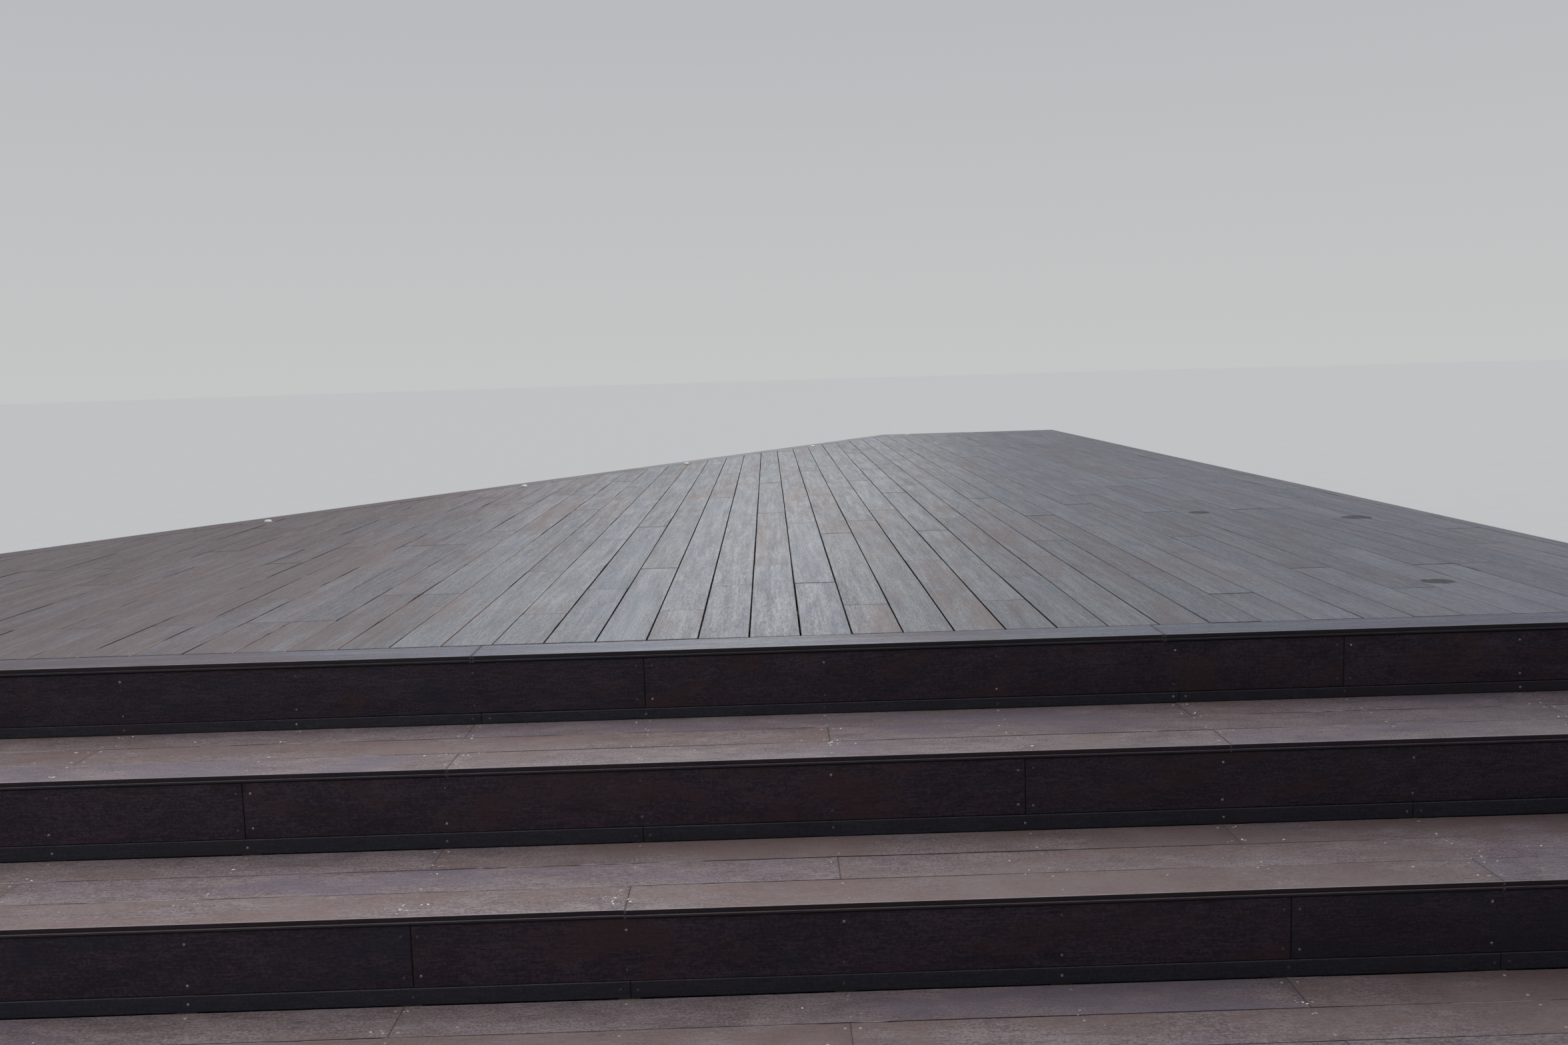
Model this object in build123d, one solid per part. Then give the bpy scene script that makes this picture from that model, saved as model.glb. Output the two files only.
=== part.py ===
from build123d import *
import math
import os

# ---------------------------------------------------------------------------
# Wooden deck with full-width stairs. Millimetres, +Z up, ground at Z = 0.
# +X runs along the steps to the right of someone walking up them, +Y runs
# from the steps into the deck. The origin is at the middle of the footprint.
# ---------------------------------------------------------------------------

# boards
board_w = 137.0            # board width
board_t = 20.0             # board thickness
board_len = 1850.0         # board length, four stringer bays
butt_gap = 1.0             # gap at a butt joint between two boards' ends
groove_h = 5.0             # groove along a board's edge, height
groove_d = 6.0             # groove along a board's edge, depth

# deck plan
half_width = 3273.0        # half of the width along the steps
deck_depth = 10900.0       # from the deck's nosing to its back edge
side_depth = 2390.0        # length of the short left side, up to the diagonal
diagonal_end_x = 1516.0    # where the diagonal side meets the back edge
deck_gap = 4.0             # gap between deck boards
deck_pitch = board_w + deck_gap
first_gap_x = 250.0        # centre of one gap of the deck boards' grid

# stairs
rises = [195.0, 195.0, 195.0, 186.0]      # from the ground up
going = 412.0              # nosing to nosing
nose_lip = 6.0             # nosing proud of the riser's face
tread_gap = 2.0            # gap between the three boards of a tread
riser_gap = 1.5            # gap between riser board and the strip under it
ground_clear = 5.0         # lowest strip clear of the ground

# stringers
stringer_t = 45.0
bay = board_len / 4        # 462.5 between stringers
stringer_x0 = -944.0       # centre of one stringer of the row
stringer_first, stringer_last = -5, 9
stringer_off = {1: 10.0, 2: 9.0, 3: 4.0, 5: 12.0}      # built a little out of line
stringer_waist = 122.0     # vertical depth of timber under the inner corners

# deck frame
joist_t, joist_h = 45.0, 140.0
joist_y0 = 607.0           # first joist of the regular row, from the nosing
joist_step = 462.5
rim_h = 190.0
front_rim_h = 290.0
bearer_w, bearer_h = 90.0, 140.0
bearer_x = [-2900.0, -1400.0, 100.0, 1600.0, 3100.0]
pile_w = 125.0
pile_step = 1600.0
pile_y0 = 250.0

# side cladding
skirt_inset = 6.0          # cladding's face behind the deck boards' edge
skirt_gap = 4.0
skirt_clear = 10.0         # cladding clear of the ground

# ---------------------------------------------------------------------------
height = sum(rises)                        # deck surface, 771
stairs_run = going * (len(rises) - 1)      # 1236
y_off = -(deck_depth - stairs_run) / 2     # deck nosing's Y, so the plan is centred
frame_top = height - board_t
eps = 1e-6

os.makedirs("parts", exist_ok=True)


# ------------------------------------------------------------------ helpers
def clip(poly, nx, ny, d):
    """Keeps the part of a convex polygon where nx*x + ny*y <= d."""
    out = []
    for i in range(len(poly)):
        p, q = poly[i], poly[(i + 1) % len(poly)]
        a, b = nx * p[0] + ny * p[1] - d, nx * q[0] + ny * q[1] - d
        if a <= eps:
            out.append(p)
        if (a < -eps and b > eps) or (a > eps and b < -eps):
            t = a / (a - b)
            out.append((p[0] + t * (q[0] - p[0]), p[1] + t * (q[1] - p[1])))
    clean = []
    for p in out:
        if not clean or math.dist(p, clean[-1]) > 0.01:
            clean.append(p)
    if len(clean) > 1 and math.dist(clean[0], clean[-1]) < 0.01:
        clean.pop()
    return clean


def span(x0, x1, y0, y1):
    return [(x0, y0), (x1, y0), (x1, y1), (x0, y1)]


def slab(poly, z0, z1):
    """A prism on a plan polygon, placed from the deck nosing's own Y."""
    pts = [(x, y + y_off) for x, y in poly]
    face = make_face(Polyline(*pts, close=True))
    return extrude(Plane.XY.offset(z0) * face, amount=z1 - z0)


def block(x0, x1, y0, y1, z0, z1):
    return Pos((x0 + x1) / 2, (y0 + y1) / 2 + y_off, (z0 + z1) / 2) * Box(
        x1 - x0, y1 - y0, z1 - z0
    )


def along_x(profile, x0, x1):
    """A bar along X with a (y, z) profile."""
    pts = [(y + y_off, z) for y, z in profile]
    face = make_face(Polyline(*pts, close=True))
    return extrude(Plane.YZ.offset(x0) * face, amount=x1 - x0)


def node(name, solids):
    flat = []
    for s in solids:
        flat.extend(s.solids())
    body = flat[0] if len(flat) == 1 else Compound(children=flat)
    body.label = name
    export_step(body, "parts/" + name + ".step")


def cuts(first, joints, last):
    """Board spans between butt joints, in X."""
    edges = [first] + [j for j in joints if first + 60 < j < last - 60] + [last]
    out = []
    for i in range(len(edges) - 1):
        a = edges[i] + (butt_gap / 2 if i else 0)
        b = edges[i + 1] - (butt_gap / 2 if i < len(edges) - 2 else 0)
        out.append((a, b))
    return out


def stringer_x(n):
    return stringer_x0 + bay * n + stringer_off.get(n, 0.0)


def joints(first_n, off={}):
    """Butt joints on every fourth stringer, off its centre by off[n]."""
    return [stringer_x(n) + off.get(n, 0.0) for n in range(first_n - 8, 13, 4)]


# --------------------------------------------------------- deck plan polygon
plan = [
    (-half_width, 0.0),
    (half_width, 0.0),
    (half_width, deck_depth),
    (diagonal_end_x, deck_depth),
    (-half_width, side_depth),
]
ddx, ddy = diagonal_end_x + half_width, deck_depth - side_depth
dlen = math.hypot(ddx, ddy)
diag_n = (-ddy / dlen, ddx / dlen)                     # outward normal
diag_d = diag_n[0] * -half_width + diag_n[1] * side_depth


def inset(front=0.0, right=0.0, back=0.0, diagonal=0.0, left=0.0):
    big = span(-20000, 20000, -20000, 30000)
    p = clip(big, 0, -1, -front)
    p = clip(p, 1, 0, half_width - right)
    p = clip(p, 0, 1, deck_depth - back)
    p = clip(p, diag_n[0], diag_n[1], diag_d - diagonal)
    return clip(p, -1, 0, half_width - left)


def cross(l1, l2):
    """Crossing of two lines given as (nx, ny, d)."""
    a, b, c = l1
    e, f, g = l2
    det = a * f - b * e
    return ((c * f - b * g) / det, (a * g - c * e) / det)


def lines(o):
    """The plan's five sides, moved inwards by o."""
    return {
        "front": (0.0, -1.0, -o),
        "right": (1.0, 0.0, half_width - o),
        "back": (0.0, 1.0, deck_depth - o),
        "diagonal": (diag_n[0], diag_n[1], diag_d - o),
        "left": (-1.0, 0.0, half_width - o),
    }


def ring_side(side, before, after, outer, inner):
    """Mitred plan quad of one side, between two offsets of the plan."""
    lo, li = lines(outer), lines(inner)
    return [
        cross(lo[side], lo[before]),
        cross(lo[side], lo[after]),
        cross(li[side], li[after]),
        cross(li[side], li[before]),
    ]


# ------------------------------------------------------------------- treads
def board_profile(y0, z1, grooved):
    """(y, z) section of a board whose front edge is at y0 and top at z1."""
    y1, z0, zm = y0 + board_w, z1 - board_t, z1 - board_t / 2
    if not grooved:
        return [(y0, z0), (y1, z0), (y1, z1), (y0, z1)]
    h = groove_h / 2
    return [
        (y0, z0), (y1, z0), (y1, z1), (y0, z1),
        (y0, zm + h), (y0 + groove_d, zm + h),
        (y0 + groove_d, zm - h), (y0, zm - h),
    ]


levels = []
z = 0.0
for i in range(len(rises) - 1):
    z += rises[i]
    levels.append((i + 1, z, -going * (len(rises) - 1 - i)))   # number, top, nose

# stringer number of a butt joint in the front, middle and back boards
tread_joints = {1: (1, 3, 1), 2: (2, 3, 1), 3: (1, 3, 1)}
tread_off = {(3, 0): {1: 8.0, 5: 12.0}, (3, 2): {1: -9.0}, (2, 2): {1: -9.0, 5: -7.0},
             (1, 0): {5: 5.0}, (1, 2): {1: -7.0, 5: -6.0}}
for num, top, nose in levels:
    for row, label in enumerate(("front", "middle", "back")):
        prof = board_profile(nose + row * (board_w + tread_gap), top, row == 0)
        node(
            "tread_%d_%s_boards" % (num, label),
            [along_x(prof, a, b) for a, b in
             cuts(-half_width, joints(tread_joints[num][row],
                                      tread_off.get((num, row), {})), half_width)],
        )

# ------------------------------------------------------------------- risers
riser_joints = {1: 3, 2: 1, 3: 0, 4: 2}
strip_joints = {1: 0, 2: 2, 3: 2, 4: 1}
riser_off = {4: {2: -19.0}, 3: {0: -4.0, 4: -2.0}, 2: {1: 13.0, 5: 5.0}, 1: {}}
strip_off = {4: {1: 7.0, 5: 11.0}, 3: {2: 3.0}, 2: {2: 5.0}, 1: {}}
face_x = half_width - skirt_inset
for i in range(len(rises)):
    num = i + 1
    below = sum(rises[:i])
    top = below + rises[i] - board_t
    y = -going * (len(rises) - 1 - i) + nose_lip
    node(
        "riser_%d_boards" % num,
        [block(a, b, y, y + board_t, top - board_w, top) for a, b in
         cuts(-face_x, joints(riser_joints[num], riser_off[num]), face_x)],
    )
    low = below + (ground_clear if i == 0 else 0.0)
    node(
        "riser_%d_strips" % num,
        [block(a, b, y, y + board_t, low, top - board_w - riser_gap) for a, b in
         cuts(-face_x, joints(strip_joints[num], strip_off[num]), face_x)],
    )

# ---------------------------------------------------------------- stringers
steps = []                      # saw-tooth (y, z), from the front foot up
back_faces = []
for i in range(len(rises)):
    y = -going * (len(rises) - 1 - i) + nose_lip + board_t
    back_faces.append(y)
for i in range(len(rises) - 1):
    top = sum(rises[: i + 1]) - board_t
    steps.append((back_faces[i], 0.0 if i == 0 else sum(rises[:i]) - board_t))
    steps.append((back_faces[i], top))
steps.append((back_faces[-1], sum(rises[:-1]) - board_t))
pitch = rises[0] / going
under_top = steps[-1][1] - stringer_waist
foot_y = back_faces[-1] - under_top / pitch
stringer_profile = steps + [(back_faces[-1], under_top), (foot_y, 0.0)]
end_x = half_width - skirt_inset - board_t - stringer_t / 2
stringers = []
for n in range(stringer_first, stringer_last + 1):
    x = stringer_x(n)
    if n == stringer_first:
        x = -end_x
    if n == stringer_last:
        x = end_x
    stringers.append(
        along_x(stringer_profile, x - stringer_t / 2, x + stringer_t / 2))
node("stringers", stringers)

# --------------------------------------------------------- deck edge boards
edge_ring = {
    "front": ("left", "right"),
    "left": ("front", "diagonal"),
    "diagonal": ("left", "back"),
    "back": ("diagonal", "right"),
}


def edge_quad(side, shrink=0.0):
    a, b = edge_ring[side]
    quad = ring_side(side, a, b, 0.0, board_w)
    return quad


def grooved_front(a, b, mitre_left):
    bar = along_x(board_profile(0.0, height, True), a, b)
    if mitre_left:
        cutter = slab([(-half_width - 5, -5), (-half_width - 5, 400),
                       (-half_width + 400, 400)], height - 100, height + 100)
        bar = bar - cutter
    return bar


front_spans = cuts(-half_width, joints(1, {1: -10.0, 5: -30.0}), half_width)
node("front_edge_boards",
     [grooved_front(a, b, i == 0) for i, (a, b) in enumerate(front_spans)])

mitre = butt_gap


def along_side(side, pieces):
    """Edge boards along one side of the plan, split by butt joints."""
    quad = edge_quad(side)
    p, q = quad[0], quad[1]
    length = math.dist(p, q)
    ux, uy = (q[0] - p[0]) / length, (q[1] - p[1]) / length
    out = []
    marks = [0.0] + pieces + [length]
    for i in range(len(marks) - 1):
        lo = marks[i] + (butt_gap / 2 if i else -300.0)
        hi = marks[i + 1] - (butt_gap / 2 if i < len(marks) - 2 else -300.0)
        base = ux * p[0] + uy * p[1]
        part = clip(quad, -ux, -uy, -(base + lo))
        part = clip(part, ux, uy, base + hi)
        out.append(part)
    return out


def shrink_ends(poly, side, amount=0.5):
    """Pulls a mitred edge board off its neighbours by a hair."""
    a, b = edge_ring[side]
    for other in (a, b):
        if other == "right":
            continue
        p0 = cross(lines(0.0)[side], lines(0.0)[other])
        p1 = cross(lines(board_w)[side], lines(board_w)[other])
        nx, ny = -(p1[1] - p0[1]), p1[0] - p0[0]
        ln = math.hypot(nx, ny)
        nx, ny = nx / ln, ny / ln
        cx = sum(p[0] for p in edge_quad(side)) / 4
        cy = sum(p[1] for p in edge_quad(side)) / 4
        if nx * (cx - p0[0]) + ny * (cy - p0[1]) > 0:
            nx, ny = -nx, -ny
        poly = clip(poly, nx, ny, nx * p0[0] + ny * p0[1] - amount)
    return poly


def side_boards(side, pieces):
    return [slab(shrink_ends(p, side), frame_top, height)
            for p in along_side(side, pieces)]


node("left_edge_boards", side_boards("left", [1480.0]))
node("diagonal_edge_boards",
     side_boards("diagonal", [board_len * k - 370.0 for k in range(1, 6)]))
node("back_edge_boards", side_boards("back", [830.0]))

# -------------------------------------------------------------- deck boards
field = inset(front=board_w + deck_gap, back=board_w + deck_gap,
              diagonal=board_w + deck_gap, left=board_w + deck_gap)
rows = []
k = math.ceil((-half_width - first_gap_x) / deck_pitch) - 1
while first_gap_x + deck_pitch * k < half_width:
    x0 = first_gap_x + deck_pitch * k + deck_gap / 2
    strip = clip(clip(field, -1, 0, -x0), 1, 0, x0 + board_w)
    if len(strip) >= 3:
        wide = max(p[0] for p in strip) - min(p[0] for p in strip)
        if wide > 15:
            rows.append(strip)
    k += 1
groups = 6
per = math.ceil(len(rows) / groups)
for g in range(groups):
    node("deck_boards_%d" % (g + 1),
         [slab(r, frame_top, height) for r in rows[g * per:(g + 1) * per]])

# --------------------------------------------------------------- deck frame
ring = {
    "left": ("front", "diagonal"),
    "diagonal": ("left", "back"),
    "back": ("diagonal", "right"),
    "right": ("back", "front"),
}
rim_in = skirt_inset + board_t
rim_front = nose_lip + board_t
node("front_rim_joist", [block(-half_width + rim_in, half_width - rim_in,
                               rim_front, rim_front + joist_t,
                               frame_top - front_rim_h, frame_top)])
for side in ("left", "diagonal", "back", "right"):
    quad = ring_side(side, ring[side][0], ring[side][1], rim_in, rim_in + joist_t)
    quad = clip(quad, 0, -1, -(rim_front + joist_t))
    node(side + "_rim_joist", [slab(quad, frame_top - rim_h, frame_top)])

inner = inset(front=rim_front + joist_t, right=rim_in + joist_t,
              back=rim_in + joist_t, diagonal=rim_in + joist_t,
              left=rim_in + joist_t)
joists = []
y = joist_y0 - joist_step
while y < deck_depth - 150:
    bar = clip(clip(inner, 0, -1, -(y - joist_t / 2)), 0, 1, y + joist_t / 2)
    if len(bar) >= 3:
        joists.append(slab(bar, frame_top - joist_h, frame_top))
    y += joist_step
node("joists", joists)

bearer_top = frame_top - joist_h
bearers, piles = [], []
for x in bearer_x:
    bar = clip(clip(inner, -1, 0, -(x - bearer_w / 2)), 1, 0, x + bearer_w / 2)
    if len(bar) < 3:
        continue
    bearers.append(slab(bar, bearer_top - bearer_h, bearer_top))
    room = clip(clip(inner, -1, 0, -(x - pile_w / 2)), 1, 0, x + pile_w / 2)
    # the longest run that is inside the frame over the whole pile width
    left_edge = [p[1] for p in room if abs(p[0] - min(q[0] for q in room)) < 0.1]
    far = max(left_edge) - pile_w / 2 - 60
    count = max(2, round((far - pile_y0) / pile_step) + 1)
    for i in range(count):
        y = pile_y0 + (far - pile_y0) * i / (count - 1)
        piles.append(block(x - pile_w / 2, x + pile_w / 2,
                           y - pile_w / 2, y + pile_w / 2,
                           0.0, bearer_top - bearer_h))
node("bearers", bearers)
node("piles", piles)

# ------------------------------------------------------------ side cladding
courses = []
z = frame_top
while z - board_w > skirt_clear:
    courses.append((z - board_w, z))
    z -= board_w + skirt_gap
if z - skirt_clear > 12:
    courses.append((skirt_clear, z))

for side in ("left", "diagonal", "back", "right"):
    quad = ring_side(side, ring[side][0], ring[side][1],
                     skirt_inset, skirt_inset + board_t)
    quad = clip(quad, 0, -1, -(rim_front + 2))
    node(side + "_skirt_boards", [slab(quad, a, b) for a, b in courses])


def below_steps(z0, z1):
    """(y, z) outline of a cladding board cut to the saw-tooth."""
    end = rim_front - 2
    pts = []
    edge = []
    for i in range(len(rises)):
        lo = 0.0 if i == 0 else sum(rises[:i]) - board_t
        hi = sum(rises[: i + 1]) - board_t
        a, b = max(lo, z0), min(hi, z1)
        if b - a > 0.5:
            edge.append((back_faces[i], a))
            edge.append((back_faces[i], b))
    if edge[-1][0] >= end:
        edge = edge[:-2]
        if not edge:
            return None
    top = edge[-1][1]
    return edge + [(end, top), (end, z0)]


for side, x0 in (("left", -face_x), ("right", face_x - board_t)):
    boards = []
    for a, b in courses:
        prof = below_steps(a, b)
        if prof:
            boards.append(along_x(prof, x0, x0 + board_t))
    node(side + "_end_panel", boards)
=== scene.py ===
import math
import random

import bmesh
import bpy
import numpy as np
from mathutils import Matrix, Vector


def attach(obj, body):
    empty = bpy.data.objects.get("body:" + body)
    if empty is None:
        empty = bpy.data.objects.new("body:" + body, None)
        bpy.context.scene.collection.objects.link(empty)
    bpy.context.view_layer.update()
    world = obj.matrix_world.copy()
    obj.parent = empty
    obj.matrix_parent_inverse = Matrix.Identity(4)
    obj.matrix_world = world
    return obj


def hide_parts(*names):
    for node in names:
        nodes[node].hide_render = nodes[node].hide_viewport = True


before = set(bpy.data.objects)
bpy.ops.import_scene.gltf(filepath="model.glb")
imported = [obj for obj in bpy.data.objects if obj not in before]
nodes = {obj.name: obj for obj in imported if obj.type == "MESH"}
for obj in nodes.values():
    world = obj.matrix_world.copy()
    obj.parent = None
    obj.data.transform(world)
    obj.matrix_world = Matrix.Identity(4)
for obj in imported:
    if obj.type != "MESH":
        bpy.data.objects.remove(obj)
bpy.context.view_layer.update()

# ---------------------------------------------------------------------------
# Sizes, in metres, as the construction has them. Y is counted from the deck's
# nosing and YO moves it into the frame.
# ---------------------------------------------------------------------------
BW, BT, BL = 0.137, 0.020, 1.850
HALF, DEPTH, SIDE, DIAG_X = 3.273, 10.900, 2.390, 1.516
GAP, PITCH, GAP0 = 0.004, 0.141, 0.250
RISES = [0.195, 0.195, 0.195, 0.186]
GOING, LIP, TGAP, RGAP, CLEAR = 0.412, 0.006, 0.002, 0.0015, 0.005
BAY, SX0 = BL / 4, -0.944
JY0, JSTEP = 0.607, 0.4625
SKIRT_IN, SKIRT_GAP, SKIRT_CLEAR = 0.006, 0.004, 0.010
H = sum(RISES)
RUN = GOING * (len(RISES) - 1)
YO = -(DEPTH - RUN) / 2
FRAME_TOP = H - BT


# ------------------------------------------------------------------- camera
def make_camera():
    data = bpy.data.cameras.new("camera")
    data.sensor_width = 36.0
    data.sensor_fit = "HORIZONTAL"
    data.lens = 2091.7 / 2352 * 36.0
    data.clip_start, data.clip_end = 0.05, 300.0
    cam = bpy.data.objects.new("camera", data)
    bpy.context.scene.collection.objects.link(cam)
    th, ps, ro = 0.11133, -0.00922, 0.02877
    c, s = math.cos(ps), math.sin(ps)
    r0, fh = Vector((c, s, 0)), Vector((-s, c, 0))
    fw = math.cos(th) * fh - math.sin(th) * Vector((0, 0, 1))
    u0 = math.sin(th) * fh + math.cos(th) * Vector((0, 0, 1))
    r = math.cos(ro) * r0 - math.sin(ro) * u0
    u = math.sin(ro) * r0 + math.cos(ro) * u0
    m = Matrix((r, u, -fw)).transposed().to_4x4()
    m.translation = Vector((0.319, YO - 3.6222, H + 0.7336))
    cam.matrix_world = m
    bpy.context.scene.camera = cam


make_camera()


# ------------------------------------------------------------ node shorthand
class Tree:
    def __init__(self, name):
        self.mat = bpy.data.materials.new(name)
        self.mat.use_nodes = True
        self.t = self.mat.node_tree
        self.t.nodes.clear()
        self.n = 0

    def add(self, kind, **props):
        node = self.t.nodes.new(kind)
        node.location = ((self.n % 12) * 180, -(self.n // 12) * 260)
        self.n += 1
        for k, v in props.items():
            setattr(node, k, v)
        return node

    def link(self, out, sock):
        if isinstance(out, (int, float)):
            sock.default_value = out
        elif isinstance(out, (tuple, list)):
            want = len(sock.default_value)
            sock.default_value = (tuple(out) + (1.0,))[:want]
        else:
            self.t.links.new(out, sock)

    def math(self, op, a, b=0.0, c=None, clamp=False):
        n = self.add("ShaderNodeMath", operation=op, use_clamp=clamp)
        self.link(a, n.inputs[0])
        self.link(b, n.inputs[1])
        if c is not None:
            self.link(c, n.inputs[2])
        return n.outputs[0]

    def scale(self, vec, s):
        n = self.add("ShaderNodeVectorMath", operation="MULTIPLY")
        self.link(vec, n.inputs[0])
        n.inputs[1].default_value = s
        return n.outputs[0]

    def noise(self, vec, detail=3.0, rough=0.55, distort=0.0, scale=1.0):
        n = self.add("ShaderNodeTexNoise")
        n.noise_dimensions = "3D"
        self.link(vec, n.inputs["Vector"])
        n.inputs["Scale"].default_value = scale
        n.inputs["Detail"].default_value = detail
        n.inputs["Roughness"].default_value = rough
        n.inputs["Distortion"].default_value = distort
        return n.outputs["Fac"]

    def add_noise_vector(self, vec, scale):
        n = self.add("ShaderNodeTexNoise")
        n.noise_dimensions = "3D"
        self.link(vec, n.inputs["Vector"])
        n.inputs["Scale"].default_value = scale
        n.inputs["Detail"].default_value = 2.0
        return n.outputs["Color"]

    def band(self, v, lo, hi, a=0.0, b=1.0, smooth=True):
        n = self.add("ShaderNodeMapRange")
        n.interpolation_type = "SMOOTHSTEP" if smooth else "LINEAR"
        n.clamp = True
        if lo > hi:
            lo, hi, a, b = hi, lo, b, a
        self.link(v, n.inputs["Value"])
        n.inputs["From Min"].default_value = lo
        n.inputs["From Max"].default_value = hi
        n.inputs["To Min"].default_value = a
        n.inputs["To Max"].default_value = b
        return n.outputs["Result"]

    def mix(self, fac, a, b, blend="MIX"):
        n = self.add("ShaderNodeMix", data_type="RGBA", blend_type=blend)
        n.clamp_factor = True
        self.link(fac, n.inputs[0])
        self.link(a, n.inputs[6])
        self.link(b, n.inputs[7])
        return n.outputs[2]

    def ramp(self, v, stops):
        n = self.add("ShaderNodeValToRGB")
        el = n.color_ramp.elements
        el[0].position, el[0].color = stops[0][0], tuple(stops[0][1]) + (1,)
        el[1].position, el[1].color = stops[-1][0], tuple(stops[-1][1]) + (1,)
        for p, c in stops[1:-1]:
            e = el.new(p)
            e.color = tuple(c) + (1,)
        self.link(v, n.inputs[0])
        return n.outputs[0]


def srgb(r, g, b):
    def f(c):
        c /= 255.0
        return c / 12.92 if c <= 0.04045 else ((c + 0.055) / 1.055) ** 2.4
    return (f(r), f(g), f(b))


def wood(name, side, top, brown, cool, warm_side, cool_side, rough=(0.5, 0.72),
         spec=0.4, fibre=0.25, grain=0.35, pepper=0.2, streak=0.3, mottle=0.4, side_mottle=0.3,
         tint=0.05, patch=0.5, chill=0.4, hue_side=0.6, dust=0.25, dust_and_shade=0.0, bump=0.6,
         arris_wear_and_highlight=None, nose_tone=(1.0, 1.0, 1.0), joint=(40, 38, 42), joint_show=0.9,
         edge=(40, 38, 42), edge_show=0.5, dust_colour=(150, 146, 146), marks=(),
         left_brown_and_shade_x=None, hue_size=(3.4, 10.0, 10.0), cloud=(2.3, 2.6, 3.0),
         leaning=(1.5, 1.3, 0.30), joint_band=(0.0008, 0.0026), edge_pale=None,
         mottle_size=(6.5, 15.0, 15.0), grain_size=(26.0, 210.0, 210.0), level=1.0,
         flank=(164, 144, 139), right_shade_x=None):
    """Board wood: side holds the (dark, mid, light) colours of the standing
    faces, top those of the weathered upper side, brown and cool its patches."""
    t = Tree(name)
    A = t.add("ShaderNodeAttribute", attribute_name="bco").outputs["Vector"]
    R = t.add("ShaderNodeAttribute", attribute_name="brand").outputs["Vector"]
    E = t.add("ShaderNodeAttribute", attribute_name="bpos").outputs["Vector"]
    sep = t.add("ShaderNodeSeparateXYZ")
    t.link(R, sep.inputs[0])
    r1, r2, r3 = sep.outputs
    sep = t.add("ShaderNodeSeparateXYZ")
    t.link(E, sep.inputs[0])
    across, end_a, end_b = sep.outputs
    wr = t.add("ShaderNodeAttribute", attribute_name="dust_and_shade").outputs["Fac"]
    nose = t.add("ShaderNodeAttribute", attribute_name="nose").outputs["Fac"]
    depth = t.add("ShaderNodeAttribute", attribute_name="depth").outputs["Fac"]
    obj = t.add("ShaderNodeTexCoord").outputs["Object"]
    geo = t.add("ShaderNodeNewGeometry")
    nz = t.add("ShaderNodeSeparateXYZ")
    t.link(geo.outputs["Normal"], nz.inputs[0])
    up = t.band(nz.outputs[2], 0.45, 0.95)

    def centred(v, k):
        return t.math("MULTIPLY", t.math("SUBTRACT", v, 0.5), k)

    def total(*parts):
        out = parts[0]
        for p in parts[1:]:
            out = t.math("ADD", out, p)
        return out

    n_fib = t.noise(t.scale(A, (8.0, 640.0, 640.0)), 3.0, 0.6)
    n_grn = t.noise(t.scale(A, grain_size), 3.0, 0.62, 0.2)
    n_pep = t.noise(t.scale(A, (170.0, 190.0, 190.0)), 2.0, 0.6)
    n_str = t.noise(t.scale(A, (1.9, 68.0, 68.0)), 5.0, 0.62, 0.25)
    n_mot = t.noise(t.scale(A, mottle_size), 5.0, 0.6, 0.6)
    n_cld = t.noise(t.scale(obj, cloud), 5.0, 0.62, 0.5)
    n_hue = t.noise(t.scale(A, hue_size), 3.0, 0.55, 0.8)
    n_dst = t.noise(t.scale(obj, (6.2, 7.5, 7.5)), 6.0, 0.66, 0.2)
    fine = total(centred(n_fib, fibre), centred(n_grn, grain), centred(n_pep, pepper),
                 centred(n_str, streak))
    tone_t = total(fine, centred(n_mot, mottle), 0.5)
    tone_s = total(fine, centred(n_mot, side_mottle), 0.5)

    def tone(cols, v):
        return t.ramp(v, [(0.3, srgb(*cols[0])), (0.5, srgb(*cols[1])),
                          (0.7, srgb(*cols[2]))])

    cs, ct = tone(side, tone_s), tone(top, tone_t)
    # warm and cool patches, more of them on some boards
    lean = total(centred(n_hue, leaning[0]), centred(n_cld, leaning[1]),
                 centred(r2, leaning[2]))
    if left_brown_and_shade_x:
        px = t.add("ShaderNodeSeparateXYZ")
        t.link(obj, px.inputs[0])
        aside = t.math("MULTIPLY", t.band(px.outputs[0], left_brown_and_shade_x[0], left_brown_and_shade_x[1]),
                       t.math("SUBTRACT", 1.0, t.math("MULTIPLY", nose, 0.35)))
        lean = t.math("ADD", lean, t.math("MULTIPLY", aside, 0.40))
    ct = t.mix(t.math("MULTIPLY", t.band(lean, 0.0, 0.36), patch), ct, srgb(*brown))
    ct = t.mix(t.math("MULTIPLY", t.band(lean, -0.05, -0.45), chill), ct, srgb(*cool))
    cs = t.mix(t.math("MULTIPLY", t.band(lean, 0.04, 0.42), hue_side), cs, srgb(*warm_side))
    cs = t.mix(t.math("MULTIPLY", t.band(lean, -0.04, -0.42), hue_side), cs,
               srgb(*cool_side))
    if left_brown_and_shade_x:
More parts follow.
